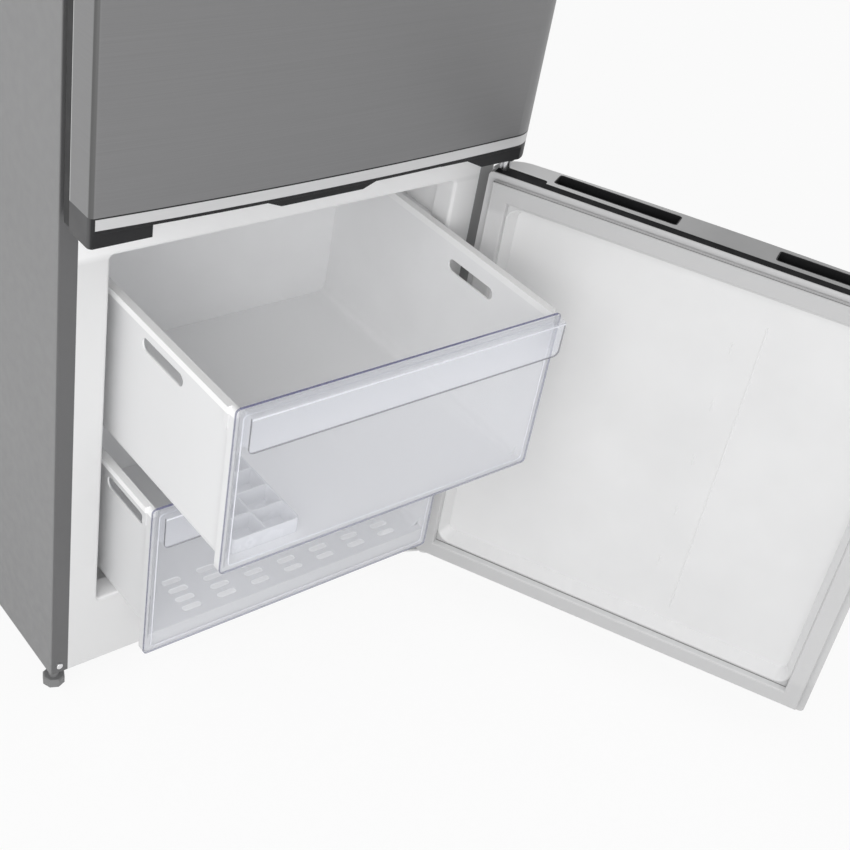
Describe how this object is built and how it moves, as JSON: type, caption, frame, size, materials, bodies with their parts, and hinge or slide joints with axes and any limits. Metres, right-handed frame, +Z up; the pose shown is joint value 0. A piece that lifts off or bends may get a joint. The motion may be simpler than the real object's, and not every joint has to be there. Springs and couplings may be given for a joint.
{
  "type": "refrigerator",
  "caption": "Upright refrigerator with a bottom freezer: the hinged freezer door stands open and the clear-fronted freezer drawers slide out on rails.",
  "frame": {"origin": "on the floor, under the middle of the cabinet", "axes": "+X to the right for someone who faces the doors, +Y to the back, +Z up"},
  "size_m": [1.0363, 1.3277, 1.92],
  "materials": {
    "side_paint": "satin grey paint",
    "galvanised": "dull zinc",
    "white_liner": "smooth white",
    "white_tub": "satin white",
    "clear_front": "clear",
    "clear_bin": "clear",
    "tray_plastic": "milky",
    "lens_plastic": "milky",
    "shelf_glass": "clear",
    "door_steel": "brushed grey",
    "cap_grey": "satin grey",
    "frame_grey": "satin light grey",
    "frame_dark": "satin dark grey",
    "black_plastic": "satin black",
    "silver_trim": "satin silver",
    "seal": "matt light grey",
    "foam": "matt foam",
    "hinge_metal": "black paint",
    "pin_steel": "bright",
    "screw_steel": "zinc",
    "cover_plastic": "satin grey",
    "mount_rubber": "matt black",
    "copper": "bare copper",
    "fin_aluminium": "bare",
    "fan_plastic": "satin dark grey",
    "foot_plastic": "satin grey",
    "knob_plastic": "light grey"
  },
  "bodies": {
    "cabinet": {"outer_shell": "side_paint", "back_panel": "galvanised", "base_pan": "galvanised", "compressor_plate": "galvanised", "mullion_beam": "galvanised", "roller_brackets": "galvanised", "freezer_liner": "white_liner", "fridge_liner": "white_liner", "control_housing": "white_liner", "shelf_trims": "white_liner", "evaporator_cover": "white_liner", "drawer_rails": "white_liner", "crispers": "clear_bin", "lamp_lens": "lens_plastic", "glass_shelves": "shelf_glass", "drip_tray": "black_plastic", "back_spacers": "black_plastic", "mains_inlet": "black_plastic", "cabinet_insulation": "foam", "top_hinge": "hinge_metal", "middle_hinge": "hinge_metal", "bottom_hinge": "hinge_metal", "compressor": "hinge_metal", "condenser": "hinge_metal", "hinge_pins": "pin_steel", "hinge_screws": "screw_steel", "top_hinge_cover": "cover_plastic", "compressor_mounts": "mount_rubber", "refrigerant_pipes": "copper", "evaporator": "fin_aluminium", "fan_motor": "fan_plastic"},
    "fridge_door": {"fridge_door_panel": "door_steel", "fridge_door_frame": "frame_dark", "fridge_door_liner": "white_liner", "fridge_door_insulation": "foam", "fridge_door_gasket": "seal", "fridge_door_top_cap": "cap_grey", "fridge_door_bottom_cap": "black_plastic", "fridge_door_trim": "silver_trim", "door_bins": "clear_bin"},
    "freezer_door": {"freezer_door_panel": "door_steel", "freezer_door_frame": "frame_grey", "freezer_door_liner": "white_liner", "freezer_door_insulation": "foam", "freezer_door_gasket": "seal", "freezer_door_top_cap": "cap_grey", "freezer_door_bottom_cap": "cap_grey", "freezer_door_grips": "black_plastic", "freezer_door_hinge_trim": "black_plastic"},
    "upper_drawer": {"upper_drawer_tub": "white_tub", "upper_drawer_front": "clear_front", "ice_tray": "tray_plastic"},
    "lower_drawer": {"lower_drawer_tub": "white_tub", "lower_drawer_front": "clear_front"},
    "left_foot": {"left_foot": "foot_plastic"},
    "right_foot": {"right_foot": "foot_plastic"},
    "left_roller": {"left_roller": "black_plastic"},
    "right_roller": {"right_roller": "black_plastic"},
    "thermostat_knob": {"thermostat_knob": "knob_plastic"},
    "evaporator_fan": {"evaporator_fan": "fan_plastic"}
  },
  "joints": [
    {"name": "freezer_door_hinge", "type": "hinge", "parent": "cabinet", "child": "freezer_door", "pos_m": [0.3355, -0.36, 0], "axis": [0, 0, 1], "range_deg": [-27.5, 7.5]},
    {"name": "fridge_door_hinge", "type": "hinge", "parent": "cabinet", "child": "fridge_door", "pos_m": [0.3355, -0.36, 0], "axis": [0, 0, 1], "range_deg": [0, 125]},
    {"name": "upper_drawer_slide", "type": "slide", "parent": "cabinet", "child": "upper_drawer", "axis": [0, -1, 0], "range_m": [-0.256, 0.12]},
    {"name": "lower_drawer_slide", "type": "slide", "parent": "cabinet", "child": "lower_drawer", "axis": [0, -1, 0], "range_m": [-0.091, 0.15]},
    {"name": "thermostat_turn", "type": "hinge", "parent": "cabinet", "child": "thermostat_knob", "pos_m": [0.095, -0.233, 1.821], "axis": [0, -1, 0], "range_deg": [-135, 135]},
    {"name": "evaporator_fan_spin", "type": "hinge", "parent": "cabinet", "child": "evaporator_fan", "pos_m": [0, 0.188, 0.66], "axis": [0, 1, 0], "continuous": true},
    {"name": "left_foot_turn", "type": "hinge", "parent": "cabinet", "child": "left_foot", "pos_m": [-0.333, -0.301, 0], "axis": [0, 0, 1], "continuous": true},
    {"name": "right_foot_turn", "type": "hinge", "parent": "cabinet", "child": "right_foot", "pos_m": [0.333, -0.301, 0], "axis": [0, 0, 1], "continuous": true},
    {"name": "left_roller_spin", "type": "hinge", "parent": "cabinet", "child": "left_roller", "pos_m": [-0.3, 0.275, 0.018], "axis": [1, 0, 0], "continuous": true},
    {"name": "right_roller_spin", "type": "hinge", "parent": "cabinet", "child": "right_roller", "pos_m": [0.3, 0.275, 0.018], "axis": [1, 0, 0], "continuous": true}
  ]
}
